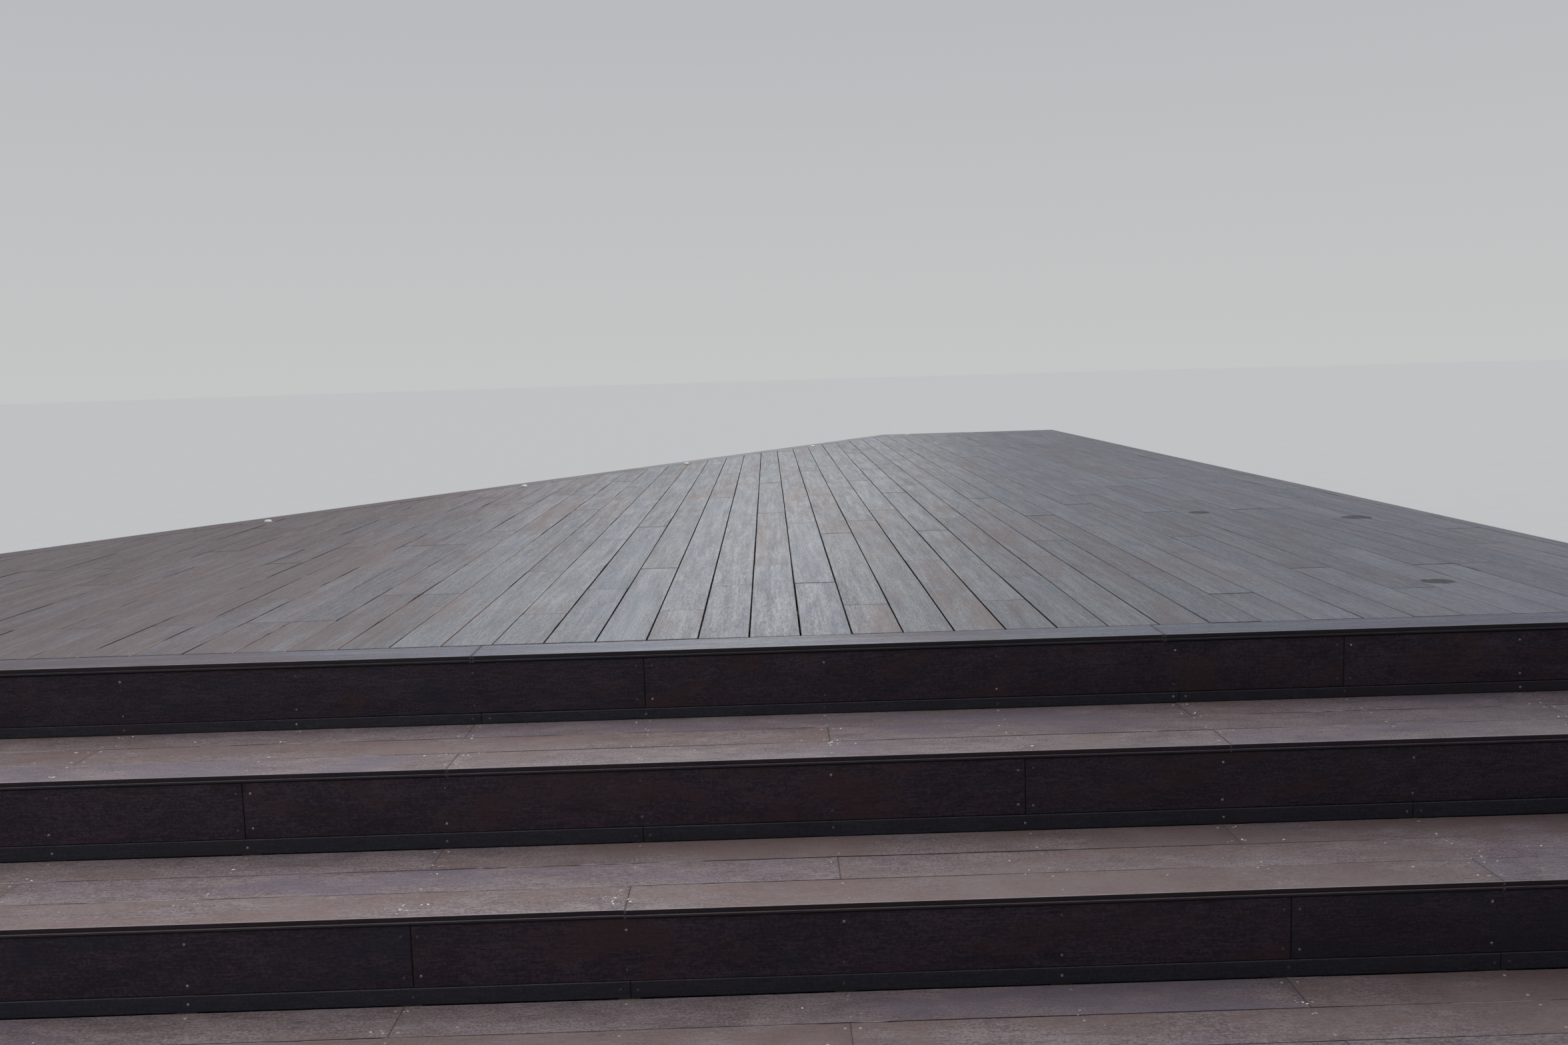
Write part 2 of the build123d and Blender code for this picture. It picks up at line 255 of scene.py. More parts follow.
        # the boards by either end are calmer in colour, brown on the left and
        # grey on the right, both with painted shade that darkens them; in patches the flanks of
        # their gaps are painted pale, painted light on the flanks
        greyer = t.band(px.outputs[0], 1.0, 2.2)
        ct = t.mix(t.math("MULTIPLY", aside, 0.35), ct, srgb(134, 123, 125))
        ct = t.mix(t.math("MULTIPLY", greyer, 0.35), ct, srgb(132, 132, 141))
        # painted shade: darker and bluer towards the right-hand end
        ct = t.mix(greyer, ct, (0.84, 0.835, 0.905), "MULTIPLY")
        # painted shade: darker and browner towards the left-hand end
        ct = t.mix(aside, ct, (0.765, 0.69, 0.715), "MULTIPLY")
        # painted light: pale patches on the gap flanks by the left and the right end
        n_lit_flank = t.noise(t.scale(A, (1.7, 2.0, 2.0)), 3.0, 0.6)
        plain = t.math("MULTIPLY", t.math("SUBTRACT", 1.0, nose), wr)
        lit_flank_left = t.math("MULTIPLY", t.band(n_lit_flank, 0.41, 0.53), t.band(px.outputs[0], 0.1, -0.7))
        lit_flank_left = t.math("MULTIPLY", lit_flank_left, plain)
        full = t.math("MULTIPLY", t.band(n_lit_flank, 0.30, 0.48), t.band(px.outputs[0], 0.9, 1.9))
        full = t.math("MULTIPLY", full, plain)
        cs = t.mix(lit_flank_left, cs, srgb(*flank))
        cs = t.mix(full, cs, srgb(148, 144, 151))
    if right_shade_x:
        # painted shade: darker and bluer towards the right-hand end
        px = t.add("ShaderNodeSeparateXYZ")
        t.link(obj, px.inputs[0])
        right_shade = t.band(t.math("ADD", px.outputs[0], centred(n_cld, 1.4)), *right_shade_x)
        ct = t.mix(right_shade, ct, (0.70, 0.69, 0.76), "MULTIPLY")
    # dust over everything that looks up, thin where the boards are sheltered
    lay = total(centred(n_dst, 1.3), centred(n_cld, 0.8), centred(n_grn, 0.5))
    if dust_and_shade:
        # painted shade: the treads darker towards the riser at the back
        back_shade = t.band(t.math("ADD", wr, centred(n_cld, 0.6)), 0.0, 0.8, 1.0 - dust_and_shade, 1.0,
                         smooth=False)
        shaded_top = t.mix(1.0, ct, (0.62, 0.555, 0.57), "MULTIPLY")
        ct = t.mix(back_shade, shaded_top, ct)
        lay = t.math("ADD", lay, t.math("MULTIPLY", wr, 0.25))
    ct = t.mix(t.math("MULTIPLY", t.band(lay, 0.0, 0.55), dust), ct, srgb(*dust_colour))
    col = t.mix(up, cs, ct)
    # the front boards: their own tone, a worn arris with a painted highlight, and the grooved
    # edge in three bands (stained lip; a pale band of dust and painted light in the groove; a
    # painted shadow, black, under the edge)
    col = t.mix(t.math("MULTIPLY", nose, up), col, nose_tone, "MULTIPLY")
    stand = t.math("MULTIPLY", nose, t.band(nz.outputs[2], 0.85, 0.5))
    n_brk = t.noise(t.scale(A, (9.0, 60.0, 60.0)), 4.0, 0.6)
    # pale band: dust, and painted light that brightens the shaded groove and lower lip
    pale = t.math("MULTIPLY", t.band(depth, 0.0072, 0.0088), t.band(depth, 0.0168, 0.0150))
    pale = t.math("MULTIPLY", pale, t.math("MULTIPLY", stand, t.band(n_brk, 0.3, 0.6, 0.6, 1.0)))
    lip = t.math("MULTIPLY", stand, t.band(depth, 0.0078, 0.0066))
    col = t.mix(t.math("MULTIPLY", lip, 0.85), col, srgb(24, 14, 19))
    col = t.mix(pale, col, srgb(38, 30, 37))
    # painted shadow: black along the lower edge of the front boards
    col = t.mix(t.math("MULTIPLY", stand, t.band(depth, 0.0152, 0.0170)), col,
                (0.002, 0.0015, 0.002))
    # painted highlight and wear: a pale line along the front boards' top arris
    if arris_wear_and_highlight:
        n_arr = t.noise(t.scale(A, (22.0, 8.0, 8.0)), 3.0, 0.6)
        line_ = t.math("MULTIPLY", t.band(across, 0.0060, 0.0016), nose)
        line_ = t.math("MULTIPLY", line_, t.band(nz.outputs[2], 0.55, 0.9))
        line_ = t.math("MULTIPLY", line_, t.band(n_arr, 0.3, 0.6, 0.3, 0.9))
        col = t.mix(line_, col, srgb(*arris_wear_and_highlight))
    # each board its own depth of tone
    value = t.band(r1, 0.0, 1.0, level * (1.0 - tint), level * (1.0 + tint), smooth=False)
    n = t.add("ShaderNodeVectorMath", operation="SCALE")
    t.link(col, n.inputs[0])
    t.link(value, n.inputs["Scale"])
    col = n.outputs[0]
    # dirt in the butt joints, wicking a little into some ends, and a tone along the gaps: dirt
    # on the deck and treads, a painted shadow along the riser boards' edges, dust and a painted
    # highlight along the strips' top edge
    near = t.math("MINIMUM", end_a, end_b)
    wick = t.math("MULTIPLY", t.band(end_b, 0.060, 0.0), t.math("MULTIPLY", r3, 0.22))
    wick = t.math("MULTIPLY", wick, t.band(n_str, 0.35, 0.6, 0.4, 1.0))
    col = t.mix(wick, col, (0.34, 0.32, 0.34), "MULTIPLY")
    broken = t.band(n_brk, 0.36, 0.56, 0.35, 1.0)
    jt = t.math("MULTIPLY", t.band(near, joint_band[1], joint_band[0]),
                t.math("MULTIPLY", t.band(n_brk, 0.34, 0.56, 0.55, 1.0), joint_show))
    col = t.mix(jt, col, srgb(*joint))
    side_gap = t.math("MINIMUM", across, t.math("SUBTRACT", BW, across))
    keep = t.math("SUBTRACT", 1.0, t.math("MULTIPLY", nose, t.band(across, 0.02, 0.01)))
    gap = t.math("MULTIPLY", t.band(side_gap, 0.0024, 0.0003), t.math("MULTIPLY", broken, keep))
    grime_and_painted_light = srgb(*edge)
    if edge_pale:
        # stretches of the seam are filled with pale dust
        n_fil = t.noise(t.scale(A, (3.2, 9.0, 9.0)), 4.0, 0.7)
        grime_and_painted_light = t.mix(t.band(n_fil, 0.53, 0.60), grime_and_painted_light, srgb(*edge_pale))
    if left_brown_and_shade_x:
        # painted light: the pale gap flanks reach the board edges too
        grime_and_painted_light = t.mix(lit_flank_left, grime_and_painted_light, srgb(*flank))
        grime_and_painted_light = t.mix(full, grime_and_painted_light, srgb(124, 123, 131))
    col = t.mix(t.math("MULTIPLY", gap, edge_show), col, grime_and_painted_light)
    # small soaked-in spots
    for mx, my, size in marks:
        d = t.add("ShaderNodeVectorMath", operation="DISTANCE")
        t.link(t.scale(obj, (1.0, 1.0, 0.0)), d.inputs[0])
        d.inputs[1].default_value = (mx, my, 0.0)
        rim = t.math("ADD", d.outputs["Value"], centred(n_mot, size * 0.8))
        spot = t.math("MULTIPLY", t.band(rim, size * 1.05, size * 0.90), up)
        col = t.mix(t.math("MULTIPLY", spot, 0.96), col, srgb(14, 13, 17))

    b = t.add("ShaderNodeBsdfPrincipled")
    t.link(col, b.inputs["Base Color"])
    t.link(t.band(tone_t, 0.35, 0.65, rough[1], rough[0]), b.inputs["Roughness"])
    b.inputs["Specular IOR Level"].default_value = spec
    bp = t.add("ShaderNodeBump")
    bp.inputs["Strength"].default_value = bump
    bp.inputs["Distance"].default_value = 0.0008
    height = total(t.math("MULTIPLY", n_fib, 0.5), t.math("MULTIPLY", n_grn, 0.5),
                   t.math("MULTIPLY", n_str, 0.5))
    t.link(height, bp.inputs["Height"])
    t.link(bp.outputs[0], b.inputs["Normal"])
    out = t.add("ShaderNodeOutputMaterial")
    t.link(b.outputs[0], out.inputs[0])
    return t.mat


def framing_wood(name):
    t = Tree(name)
    obj = t.add("ShaderNodeTexCoord").outputs["Object"]
    n1 = t.noise(t.scale(obj, (9.0, 9.0, 60.0)), 5.0, 0.6, 0.6)
    n2 = t.noise(t.scale(obj, (160.0, 160.0, 160.0)), 2.0, 0.5)
    g = t.math("ADD", t.math("MULTIPLY", n1, 0.75), t.math("MULTIPLY", n2, 0.25))
    col = t.ramp(g, [(0.3, srgb(104, 92, 62)), (0.5, srgb(150, 134, 96)),
                     (0.72, srgb(178, 163, 124))])
    b = t.add("ShaderNodeBsdfPrincipled")
    t.link(col, b.inputs["Base Color"])
    b.inputs["Roughness"].default_value = 0.8
    bp = t.add("ShaderNodeBump")
    bp.inputs["Strength"].default_value = 0.5
    bp.inputs["Distance"].default_value = 0.001
    t.link(g, bp.inputs["Height"])
    t.link(bp.outputs[0], b.inputs["Normal"])
    out = t.add("ShaderNodeOutputMaterial")
    t.link(b.outputs[0], out.inputs[0])
    return t.mat


def steel(name, base=(150, 150, 150), grime_and_painted_light=(58, 50, 48), clean=0.5, metal=0.75):
    """Stainless steel, some pieces shining and some under a film of grime."""
    t = Tree(name)
    obj = t.add("ShaderNodeTexCoord").outputs["Object"]
    R = t.add("ShaderNodeAttribute", attribute_name="brand").outputs["Vector"]
    sep = t.add("ShaderNodeSeparateXYZ")
    t.link(R, sep.inputs[0])
    n1 = t.noise(t.scale(obj, (400.0, 400.0, 400.0)), 3.0, 0.6)
    n2 = t.noise(t.scale(obj, (60.0, 60.0, 60.0)), 2.0, 0.5)
    col = t.ramp(n1, [(0.35, srgb(*[int(c * 0.72) for c in base])), (0.7, srgb(*base))])
    film = t.math("ADD", t.band(sep.outputs[0], clean - 0.25, clean + 0.25),
                  t.math("MULTIPLY", t.math("SUBTRACT", n1, 0.5), 0.8))
    film = t.band(film, 0.0, 1.0, smooth=False)
    col = t.mix(film, col, srgb(*grime_and_painted_light))
    b = t.add("ShaderNodeBsdfPrincipled")
    t.link(col, b.inputs["Base Color"])
    t.link(t.band(film, 0.0, 1.0, metal, 0.1), b.inputs["Metallic"])
    t.link(t.band(n2, 0.3, 0.7, 0.3, 0.55), b.inputs["Roughness"])
    bp = t.add("ShaderNodeBump")
    bp.inputs["Strength"].default_value = 0.2
    bp.inputs["Distance"].default_value = 0.0002
    t.link(n1, bp.inputs["Height"])
    t.link(bp.outputs[0], b.inputs["Normal"])
    out = t.add("ShaderNodeOutputMaterial")
    t.link(b.outputs[0], out.inputs[0])
    return t.mat


def lens(name):
    """Frosted, slightly yellowed plastic."""
    t = Tree(name)
    obj = t.add("ShaderNodeTexCoord").outputs["Object"]
    n1 = t.noise(t.scale(obj, (120.0, 120.0, 120.0)), 4.0, 0.6)
    col = t.ramp(n1, [(0.35, srgb(236, 236, 231)), (0.65, srgb(250, 250, 248))])
    b = t.add("ShaderNodeBsdfPrincipled")
    t.link(col, b.inputs["Base Color"])
    t.link(t.band(n1, 0.3, 0.7, 0.25, 0.45), b.inputs["Roughness"])
    b.inputs["Subsurface Weight"].default_value = 0.5
    b.inputs["Subsurface Radius"].default_value = (0.010, 0.010, 0.009)
    out = t.add("ShaderNodeOutputMaterial")
    t.link(b.outputs[0], out.inputs[0])
    return t.mat


def crumb_mat(name):
    """Pale chips of grit and husk."""
    t = Tree(name)
    obj = t.add("ShaderNodeTexCoord").outputs["Object"]
    n1 = t.noise(t.scale(obj, (90.0, 90.0, 90.0)), 3.0, 0.6)
    n2 = t.noise(t.scale(obj, (9.0, 9.0, 9.0)), 2.0, 0.6)
    col = t.ramp(t.math("ADD", t.math("MULTIPLY", n1, 0.5), t.math("MULTIPLY", n2, 0.5)),
                 [(0.36, srgb(176, 164, 150)), (0.48, srgb(214, 208, 200)),
                  (0.62, srgb(238, 236, 231))])
    b = t.add("ShaderNodeBsdfPrincipled")
    t.link(col, b.inputs["Base Color"])
    b.inputs["Roughness"].default_value = 0.7
    out = t.add("ShaderNodeOutputMaterial")
    t.link(b.outputs[0], out.inputs[0])
    return t.mat


FACE = ((26, 18, 26), (38, 28, 39), (54, 43, 53))
WARM, COOL = (50, 32, 34), (27, 27, 40)


def deck_wood(name, spec):
    return wood(name, FACE,
                ((108, 109, 116), (136, 137, 144), (160, 162, 169)), (131, 119, 118),
                (128, 136, 148), WARM, COOL, rough=(0.36, 0.56), spec=spec, tint=0.115,
                patch=0.85, chill=0.65, dust=0.2, streak=0.27, fibre=0.3, grain=0.42,
                pepper=0.36, mottle=0.36, mottle_size=(2.2, 22.0, 22.0),
                arris_wear_and_highlight=(160, 161, 168),
                nose_tone=(0.72, 0.725, 0.82),
                joint=(60, 60, 67), joint_show=0.9, joint_band=(0.0016, 0.0082),
                edge=(30, 30, 38), edge_show=0.8, dust_colour=(152, 152, 156),
                left_brown_and_shade_x=(-0.3, -2.1), hue_size=(2.0, 9.0, 9.0), cloud=(1.9, 1.1, 3.0),
                leaning=(1.2, 1.0, 0.42), level=0.755,
                marks=((2.319, 2.841 + YO, 0.052), (2.908, 2.472 + YO, 0.072),
                       (2.422, 0.715 + YO, 0.050)))


def tread_wood(name, spec):
    return wood(name, FACE,
                ((99, 87, 90), (130, 117, 119), (159, 147, 149)), (126, 105, 101),
                (120, 111, 125), WARM, COOL, rough=(0.48, 0.68), spec=spec, dust_and_shade=0.5,
                tint=0.07, patch=0.7, chill=0.7, dust=0.3, streak=0.2, fibre=0.3,
                grain=0.55, grain_size=(42.0, 230.0, 230.0), pepper=0.85, mottle=0.55,
                arris_wear_and_highlight=(150, 142, 145),
                joint=(84, 76, 79), joint_show=0.7, joint_band=(0.0008, 0.0034),
                edge=(44, 34, 38), edge_pale=(160, 150, 150), edge_show=0.95,
                dust_colour=(144, 134, 136), hue_size=(3.4, 7.5, 7.5),
                cloud=(1.5, 3.2, 3.0), leaning=(1.0, 1.6, 0.55), level=0.96,
                right_shade_x=(0.7, 2.9))


MAT = {
    "deck": deck_wood("deck_wood", 0.26),
    "deck_edge": deck_wood("deck_edge_wood", 0.2),
    "tread": tread_wood("tread_wood", 0.4),
    "tread_edge": tread_wood("tread_edge_wood", 0.2),
    "riser": wood("riser_wood", FACE,
                  ((60, 56, 60), (88, 82, 88), (110, 104, 110)), (84, 74, 74),
                  (80, 80, 90), WARM, COOL, rough=(0.5, 0.66), spec=0.2, tint=0.06,
                  side_mottle=0.5, streak=0.2, fibre=0.4, grain=0.8,
                  grain_size=(34.0, 230.0, 230.0), pepper=1.0, dust=0.15,
                  hue_side=0.62, hue_size=(7.0, 15.0, 15.0), cloud=(2.6, 2.6, 5.0), level=0.82,
                  joint=(14, 11, 14),
                  # painted shadow: near-black lines along the board edges, as under the nosing
                  # and above the strip
                  edge=(14, 11, 14), edge_show=0.9),
    "strip": wood("strip_wood", ((27, 26, 34), (36, 34, 43), (47, 45, 55)),
                  ((60, 58, 64), (92, 90, 96), (112, 110, 116)), (84, 80, 84),
                  (80, 80, 90), (42, 33, 38), (31, 32, 46), rough=(0.5, 0.66), spec=0.22,
                  tint=0.06, side_mottle=0.35, streak=0.2, grain=0.6, pepper=0.8, dust=0.15,
                  # dust and a painted highlight: a pale line along the strip's top edge
                  joint=(14, 12, 16), edge=(60, 57, 66), edge_show=0.6, level=0.74),
    "framing": framing_wood("framing_wood"),
    "steel": steel("screw_steel", (186, 180, 176), (66, 56, 56), 0.42),
    # the tread screws: a lighter copy of the screw steel, pale dust and a painted highlight
    "steel_top": steel("tread_screw_steel", (220, 215, 209), (150, 140, 136), 0.6, 0.35),
    "light_rim": steel("light_rim_steel", (205, 205, 208), (120, 112, 106), 0.8),
    "light_lens": lens("light_lens"),
    "crumb": crumb_mat("pale_crumbs"),
}


# ------------------------------------------------------------- mesh building
class Acc:
    """Collects boards into one mesh."""

    def __init__(self):
        self.v, self.f, self.bco, self.brand, self.dust_and_shade = [], [], [], [], []
        self.bpos, self.nose, self.depth = [], [], []
        self.count = 0

    def add(self, verts, faces, bco, brand, dust_and_shade, bpos=None, nose=0.0, depth=None):
        k = self.count
        self.v.append(verts)
        self.f.extend([tuple(i + k for i in f) for f in faces])
        self.bco.append(bco)
        self.brand.append(np.repeat(np.asarray(brand, float)[None], len(verts), 0))
        self.dust_and_shade.append(dust_and_shade)
        self.bpos.append(np.full((len(verts), 3), 0.06) if bpos is None else bpos)
        self.nose.append(np.full(len(verts), nose))
        self.depth.append(np.zeros(len(verts)) if depth is None else depth)
        self.count += len(verts)

    def build(self, name, mat, slot, node=None, edge_mat=None):
        me = bpy.data.meshes.new(name)
        me.from_pydata(np.concatenate(self.v).tolist(), [], self.f)
        for key, arr in (("bco", self.bco), ("brand", self.brand), ("bpos", self.bpos)):
            a = me.attributes.new(key, "FLOAT_VECTOR", "POINT")
            a.data.foreach_set("vector", np.concatenate(arr).astype(np.float32).ravel())
        for key, arr in (("dust_and_shade", self.dust_and_shade), ("nose", self.nose), ("depth", self.depth)):
            a = me.attributes.new(key, "FLOAT", "POINT")
            a.data.foreach_set("value", np.concatenate(arr).astype(np.float32))
        me.materials.append(mat)
        me.validate()
        me.update()
        if edge_mat:
            me.materials.append(edge_mat)
            nrm = np.empty(len(me.polygons) * 3, np.float32)
            me.polygons.foreach_get("normal", nrm)
            me.polygons.foreach_set("material_index", (nrm[2::3] < 0.7).astype(np.int32))
        ob = bpy.data.objects.new(name, me)
        bpy.context.scene.collection.objects.link(ob)
        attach(ob, "root")
        if node:
            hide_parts(node)
        return ob


def section(width, thick, r, gl, gr, gh=0.005, gd=0.006, low=None):
    """Board section as (v, t): v across from the left edge, t down from the top."""
    low = low or r

    def arc(cx, cy, a0, a1, n=2, r=r):
        return [(cx + r * math.cos(a0 + (a1 - a0) * i / n),
                 cy + r * math.sin(a0 + (a1 - a0) * i / n)) for i in range(n + 1)]
    q = math.pi / 2
    pts = arc(r, r, 2 * q, 3 * q)                                 # top left
    pts += arc(width - r, r, 3 * q, 4 * q)                        # top right
    mid, h = thick / 2, gh / 2
    if gr:
        pts += [(width, mid - h), (width - gd, mid - h), (width - gd, mid + h), (width, mid + h)]
    pts += arc(width - low, thick - low, 0, q, 1 if low == r else 2, low)
    pts += arc(low, thick - low, q, 2 * q, 1 if low == r else 3, low)
    if gl:
        pts += [(0, mid + h), (gd, mid + h), (gd, mid - h), (0, mid - h)]
    return np.array(pts)


def board(acc, rng, O, L, W, U, s0, s1, width=BW, thick=BT, m0=0.0, m1=0.0,
          gl=True, gr=True, r=0.0016, dust_and_shade=None, warp=0.0004, step=0.46, nose=0.0,
          low=None, c=0.0005):
    """A board from s0 to s1 along L. Its ends may be cut on the slant: the along
    position grows by m0 or m1 for each metre across."""
    O, L, W, U = (np.asarray(a, float) for a in (O, L, W, U))
    sec = section(width, thick, r, gl, gr, low=low)
    n = len(sec)
    length = s1 - s0
    inner = max(1, int(round(length / step)))
    stops = [(0.0, True), (c, False)]
    stops += [(length * i / inner, False) for i in range(1, inner)]
    stops += [(length - c, False), (length, True)]
    ph = rng.uniform(0, 6.28, 4)
    dz0 = rng.uniform(-0.00035, 0.00035)
    ring, bco, bpos, dep = [], [], [], []
    off = rng.uniform(0, 40, 3)
    for d, end in stops:
        f = d / length
        v, t = sec[:, 0].copy(), sec[:, 1].copy()
        if end:
            v = width / 2 + (v - width / 2) * (1 - 2 * c / width)
            t = thick / 2 + (t - thick / 2) * (1 - 2 * c / thick)
        s = s0 + d + (m0 * (1 - f) + m1 * f) * v
        up = dz0 + warp * math.sin(ph[0] + 2.1 * d) + 0.5 * warp * math.sin(ph[1] + 5.0 * d)
        side = warp * math.sin(ph[2] + 1.7 * d)
        ring.append(O + s[:, None] * L + (v + side)[:, None] * W + (up - t)[:, None] * U)
        bco.append(np.stack([s + off[0], v + off[1], t + off[2]], 1))
        bpos.append(np.stack([v, np.full(n, d), np.full(n, length - d)], 1))
        dep.append(t)
    V = np.concatenate(ring)
    faces = []
    m = len(stops)
    for j in range(m - 1):
        a, b = j * n, (j + 1) * n
        for i in range(n):
            k = (i + 1) % n
            faces.append((a + i, a + k, b + k, b + i))
    faces.append(tuple(range(n - 1, -1, -1)))
    faces.append(tuple((m - 1) * n + i for i in range(n)))
    # the faces have to look outwards
    if np.dot(np.cross(W, -U), L) < 0:
        faces = [f[::-1] for f in faces]
    w = np.ones(len(V)) if dust_and_shade is None else dust_and_shade(V)
    acc.add(V, faces, np.concatenate(bco), rng.uniform(0, 1, 3), w,
            np.concatenate(bpos), nose, np.concatenate(dep))


def cuts(first, joints, last, gap=0.001):
    edges = [first] + [j for j in joints if first + 0.06 < j < last - 0.06] + [last]
    out = []
    for i in range(len(edges) - 1):
        a = edges[i] + (gap / 2 if i else 0)
        b = edges[i + 1] - (gap / 2 if i < len(edges) - 2 else 0)
        out.append((a, b))
    return out


S_OFF = {1: 0.010, 2: 0.009, 3: 0.004, 5: 0.012}


def stringer_x(n):
    return SX0 + BAY * n + S_OFF.get(n, 0.0)


def joint_xs(first_n, off={}):
    return [stringer_x(n) + off.get(n, 0.0) for n in range(first_n - 8, 13, 4)]


X, Y, Z = (1, 0, 0), (0, 1, 0), (0, 0, 1)
NX, NY, NZ = (-1, 0, 0), (0, -1, 0), (0, 0, -1)

# ------------------------------------------------------------------- treads
tread_joints = {1: (1, 3, 1), 2: (2, 3, 1), 3: (1, 3, 1)}
tread_off = {(3, 0): {1: 0.008, 5: 0.012}, (3, 2): {1: -0.009},
             (2, 2): {1: -0.009, 5: -0.007}, (1, 0): {5: 0.005},
             (1, 2): {1: -0.007, 5: -0.006}}
z = 0.0
for i in range(3):
    z += RISES[i]
    num, nose = i + 1, -GOING * (3 - i)
    rng = np.random.default_rng(100 + num)

    # the mask for dust and painted shade: 1 at the nosing, 0 at the back by the riser
    def dust_and_shade(V, nose=nose):
        return 1.0 - (V[:, 1] - (nose + YO)) / (3 * BW + 2 * TGAP)

    for row, label in enumerate(("front", "middle", "back")):
        acc = Acc()
        y = nose + row * (BW + TGAP) + YO
        snug = 0.0006
        lead = 0.0 if row == 0 else snug
        for a, b in cuts(-HALF, joint_xs(tread_joints[num][row],
                                         tread_off.get((num, row), {})), HALF, 0.0002):
            board(acc, rng, (0, y - lead, z), X, Y, Z, a, b, dust_and_shade=dust_and_shade, r=0.0010,
                  width=BW + lead + (snug if row < 2 else 0.0), c=0.0003,
                  low=0.0032 if row == 0 else None, nose=1.0 if row == 0 else 0.0)
        node = "tread_%d_%s_boards" % (num, label)
        acc.build(node + "_look", MAT["tread"], "tread_board", node, MAT["tread_edge"])

# ------------------------------------------------------------------- risers
riser_joints = {1: 3, 2: 1, 3: 0, 4: 2}
strip_joints = {1: 0, 2: 2, 3: 2, 4: 1}
riser_off = {4: {2: -0.019}, 3: {0: -0.004, 4: -0.002}, 2: {1: 0.013, 5: 0.005}, 1: {}}
strip_off = {4: {1: 0.007, 5: 0.011}, 3: {2: 0.003}, 2: {2: 0.005}, 1: {}}
FX = HALF - SKIRT_IN
for i in range(4):
    num, below = i + 1, sum(RISES[:i])
    top = below + RISES[i] - BT
    y = -GOING * (3 - i) + LIP + YO
    rng = np.random.default_rng(200 + num)
    acc = Acc()
    for a, b in cuts(-FX, joint_xs(riser_joints[num], riser_off[num]), FX, 0.0007):
        board(acc, rng, (0, y, top), X, NZ, NY, a, b, warp=0.0003, r=0.0024)
    acc.build("riser_%d_boards_look" % num, MAT["riser"], "riser_board",
              "riser_%d_boards" % num)
    low = below + (CLEAR if i == 0 else 0.0)
    acc = Acc()
    h = top - BW - RGAP - low
    for a, b in cuts(-FX, joint_xs(strip_joints[num], strip_off[num]), FX, 0.0006):
        board(acc, rng, (0, y, top - BW - RGAP), X, NZ, NY, a, b, width=h,
              gl=False, gr=False, warp=0.0003)
    acc.build("riser_%d_strips_look" % num, MAT["strip"], "riser_board",
              "riser_%d_strips" % num)

# ------------------------------------------------------------- plan geometry
ddx, ddy = DIAG_X + HALF, DEPTH - SIDE
dlen = math.hypot(ddx, ddy)
DN = (-ddy / dlen, ddx / dlen)
DD = DN[0] * -HALF + DN[1] * SIDE


def line(side, o):
    return {"front": (0.0, -1.0, -o), "right": (1.0, 0.0, HALF - o),
            "back": (0.0, 1.0, DEPTH - o), "diagonal": (DN[0], DN[1], DD - o),
            "left": (-1.0, 0.0, HALF - o)}[side]


def cross(l1, l2):
    a, b, c = l1
    e, f, g = l2
    det = a * f - b * e
    return np.array(((c * f - b * g) / det, (a * g - c * e) / det))


RING = {"front": ("left", "right"), "left": ("front", "diagonal"),
        "diagonal": ("left", "back"), "back": ("diagonal", "right"),
        "right": ("back", "front")}


def ring_board(acc, rng, side, outer, width, z, pieces=(), upright=False, thick=BT,
               start=None, gl=True, gr=True, trim=0.0006, dust_and_shade=None):
    """Boards along one side of the plan with mitred ends. Lying boards reach
    from offset outer inwards by width; upright ones have their face at outer."""
    a, b = RING[side]
    p0, p1 = cross(line(side, outer), line(a, outer)), cross(line(side, outer), line(b, outer))
    inner = outer + (thick if upright else width)
    q0, q1 = cross(line(side, inner), line(a, inner)), cross(line(side, inner), line(b, inner))
    L = (p1 - p0) / np.linalg.norm(p1 - p0)
    nrm = -np.array(line(side, 0)[:2])            # inwards
    depth = thick if upright else width
    mA = float(np.dot(q0 - p0, L)) / depth
    mB = float(np.dot(q1 - p1, L)) / depth
    total = float(np.dot(p1 - p0, L))
    if b == "right" and side in ("front", "back") and not upright:
        mB = 0.0
        total = float(np.dot(np.array((HALF, 0)) - p0, L)) if side == "front" else total
    marks = [0.0 if start is None else start] + [p for p in pieces] + [total]
    O = np.array((p0[0], p0[1] + YO, z))
    L3 = np.array((L[0], L[1], 0.0))
    N3 = np.array((nrm[0], nrm[1], 0.0))
    for i in range(len(marks) - 1):
        s0 = marks[i] + (0.0005 if i else trim)
        s1 = marks[i + 1] - (0.0005 if i < len(marks) - 2 else trim)
        m0 = mA if i == 0 and start is None else 0.0
        m1 = mB if i == len(marks) - 2 else 0.0
        if upright:
            board(acc, rng, O, L3, NZ, -N3, s0, s1, width=width, thick=thick,
                  gl=gl, gr=gr, warp=0.0003)
        else:
            board(acc, rng, O, L3, N3, Z, s0, s1, width=width, m0=m0, m1=m1,
                  gl=gl, gr=gr, dust_and_shade=dust_and_shade)


